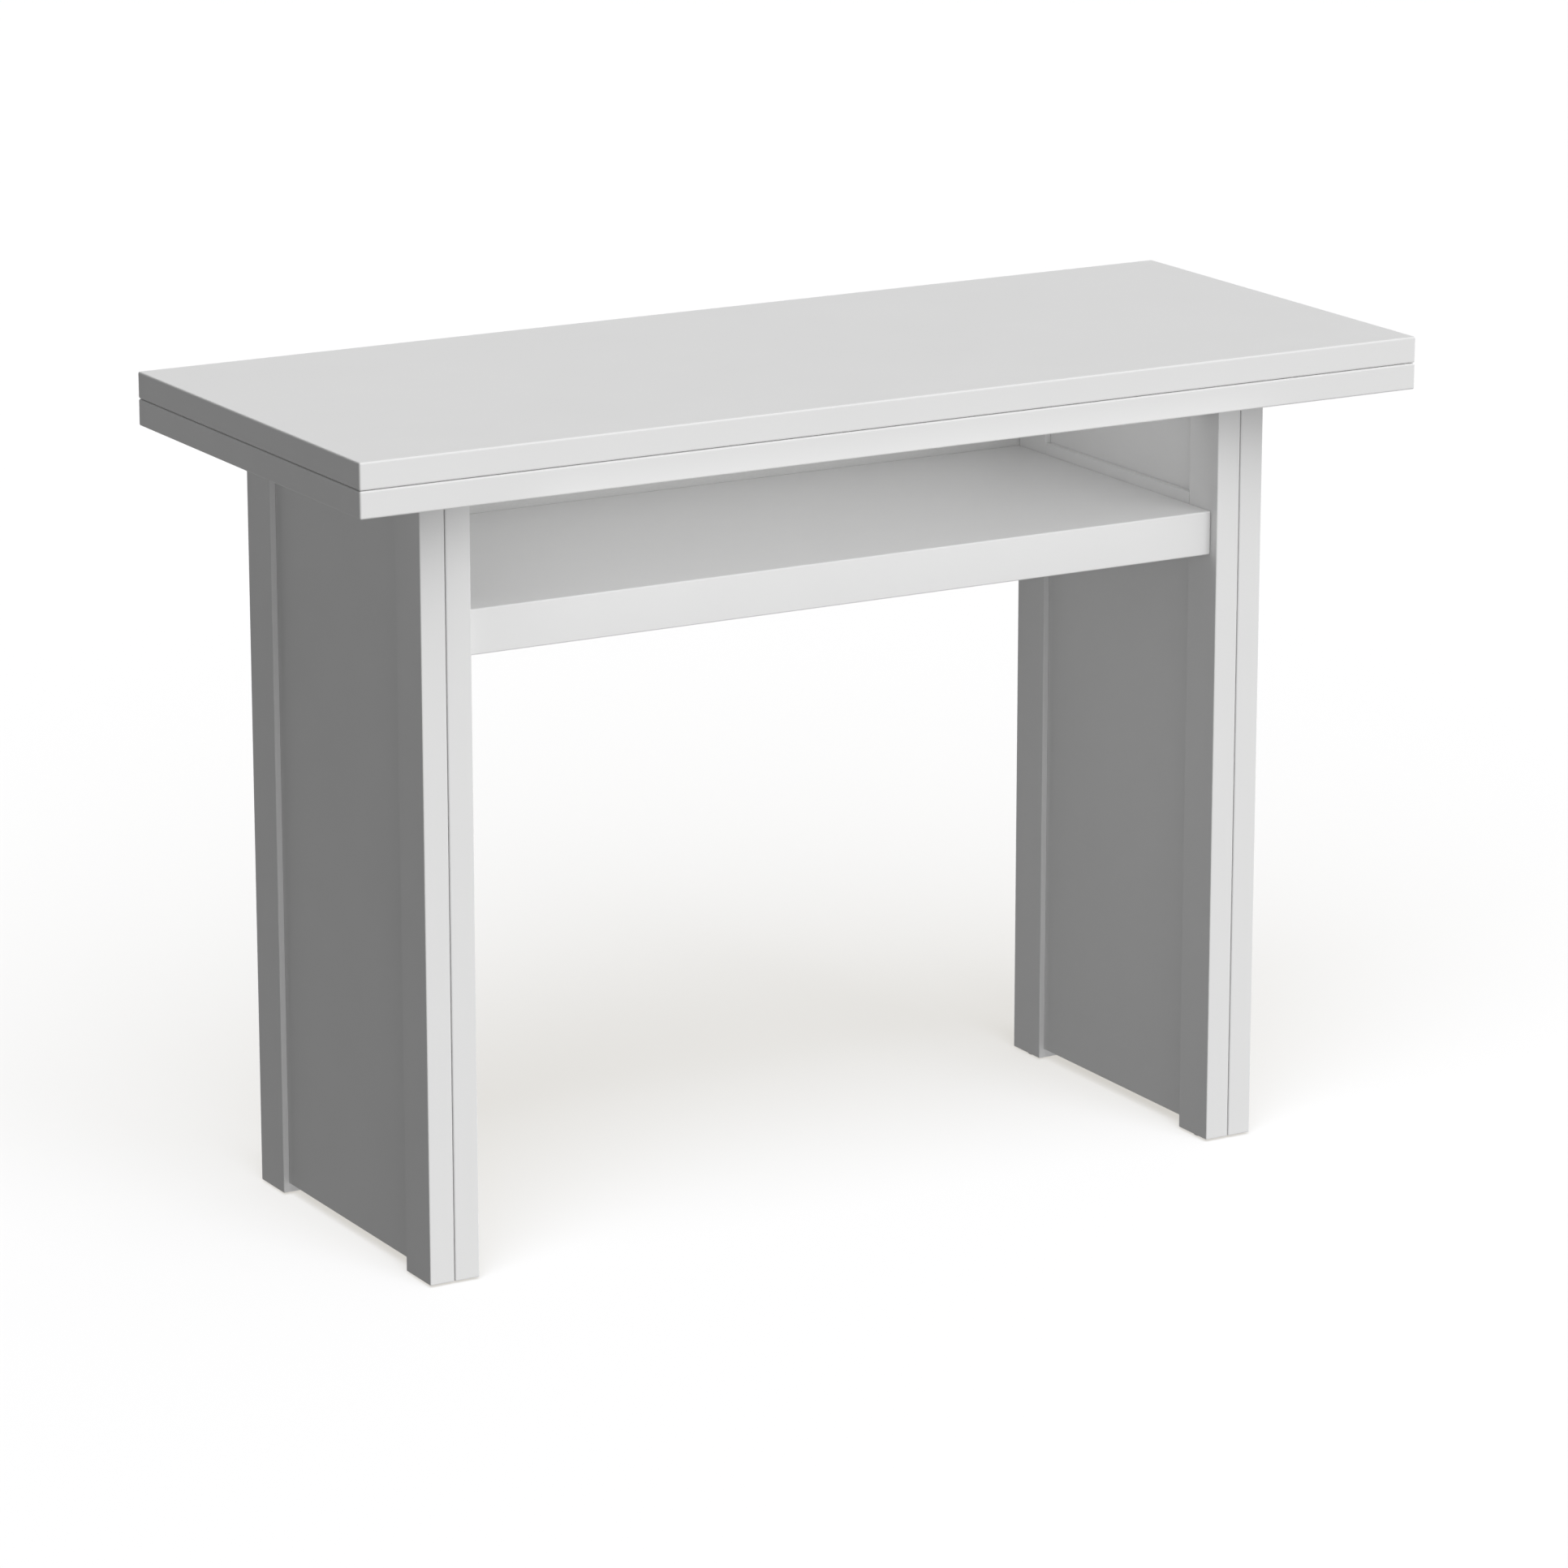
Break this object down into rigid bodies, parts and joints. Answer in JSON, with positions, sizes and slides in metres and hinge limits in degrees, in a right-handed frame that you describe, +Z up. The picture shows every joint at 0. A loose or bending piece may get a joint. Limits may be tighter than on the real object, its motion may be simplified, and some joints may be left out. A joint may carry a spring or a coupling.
{
  "type": "fold-over console table",
  "caption": "Console table whose hinged top leaf folds over to the rear onto a nested leg frame that pulls out on telescopic runners, with a shelf under the top.",
  "frame": {"origin": "on the floor under the middle of the closed top; the hinge knuckles stand 2.75 mm behind the top's rear edge", "axes": "+X along the long side to the right of someone facing the front, +Y to the rear, where the hinges are and where the inner frame pulls out, +Z up"},
  "size_m": [1.1, 0.4528, 0.7925],
  "materials": {
    "white_lacquer": "smooth satin white lacquer on board, with rounded edges",
    "white_backing": "plain matt white board, out of sight",
    "runner_steel": "rolled steel channel with bright zinc plating",
    "bolt_steel": "zinc-plated turned steel",
    "hinge_nickel": "satin nickel-plated steel",
    "cam_zinc": "dull zinc die casting",
    "glide_nylon": "matt grey nylon"
  },
  "bodies": {
    "fixed_frame": {"fixed_top": "white_lacquer", "outer_left_front_post": "white_lacquer", "outer_left_front_glide": "glide_nylon", "top_left_front_cam": "cam_zinc", "top_left_front_bolt": "bolt_steel", "outer_left_rear_post": "white_lacquer", "outer_left_rear_glide": "glide_nylon", "top_left_rear_cam": "cam_zinc", "top_left_rear_bolt": "bolt_steel", "outer_left_panel": "white_lacquer", "left_runner_batten": "white_backing", "left_runner_outer": "runner_steel", "outer_right_front_post": "white_lacquer", "outer_right_front_glide": "glide_nylon", "top_right_front_cam": "cam_zinc", "top_right_front_bolt": "bolt_steel", "outer_right_rear_post": "white_lacquer", "outer_right_rear_glide": "glide_nylon", "top_right_rear_cam": "cam_zinc", "top_right_rear_bolt": "bolt_steel", "outer_right_panel": "white_lacquer", "right_runner_batten": "white_backing", "right_runner_outer": "runner_steel", "hinge_1_fixed_plate": "hinge_nickel", "hinge_1_pin": "hinge_nickel", "hinge_2_fixed_plate": "hinge_nickel", "hinge_2_pin": "hinge_nickel", "hinge_3_fixed_plate": "hinge_nickel", "hinge_3_pin": "hinge_nickel"},
    "leaf": {"folding_leaf": "white_lacquer", "hinge_1_leaf_plate": "hinge_nickel", "hinge_2_leaf_plate": "hinge_nickel", "hinge_3_leaf_plate": "hinge_nickel"},
    "left_runner_slide": {"left_runner_middle": "runner_steel"},
    "right_runner_slide": {"right_runner_middle": "runner_steel"},
    "pull_out_frame": {"shelf": "white_lacquer", "back_panel": "white_backing", "inner_left_front_post": "white_lacquer", "inner_left_front_glide": "glide_nylon", "shelf_left_front_cam": "cam_zinc", "shelf_left_front_bolt": "bolt_steel", "inner_left_rear_post": "white_lacquer", "inner_left_rear_glide": "glide_nylon", "shelf_left_rear_cam": "cam_zinc", "shelf_left_rear_bolt": "bolt_steel", "inner_left_panel": "white_lacquer", "left_shelf_rail": "white_lacquer", "left_runner_inner": "runner_steel", "inner_right_front_post": "white_lacquer", "inner_right_front_glide": "glide_nylon", "shelf_right_front_cam": "cam_zinc", "shelf_right_front_bolt": "bolt_steel", "inner_right_rear_post": "white_lacquer", "inner_right_rear_glide": "glide_nylon", "shelf_right_rear_cam": "cam_zinc", "shelf_right_rear_bolt": "bolt_steel", "inner_right_panel": "white_lacquer", "right_shelf_rail": "white_lacquer", "right_runner_inner": "runner_steel"}
  },
  "joints": [
    {"name": "leaf_hinge", "type": "hinge", "parent": "fixed_frame", "child": "leaf", "pos_m": [0, 0.22525, 0.7675], "axis": [-1, 0, 0], "range_deg": [0, 180]},
    {"name": "frame_pull_out", "type": "slide", "parent": "fixed_frame", "child": "pull_out_frame", "axis": [0, 1, 0], "range_m": [0, 0.35]},
    {"name": "left_runner_travel", "type": "slide", "parent": "fixed_frame", "child": "left_runner_slide", "axis": [0, 1, 0], "range_m": [0, 0.175]},
    {"name": "right_runner_travel", "type": "slide", "parent": "fixed_frame", "child": "right_runner_slide", "axis": [0, 1, 0], "range_m": [0, 0.175]}
  ],
  "couplings": [
    {"joint": "left_runner_travel", "follows": "frame_pull_out", "ratio": 0.5},
    {"joint": "right_runner_travel", "follows": "frame_pull_out", "ratio": 0.5}
  ]
}
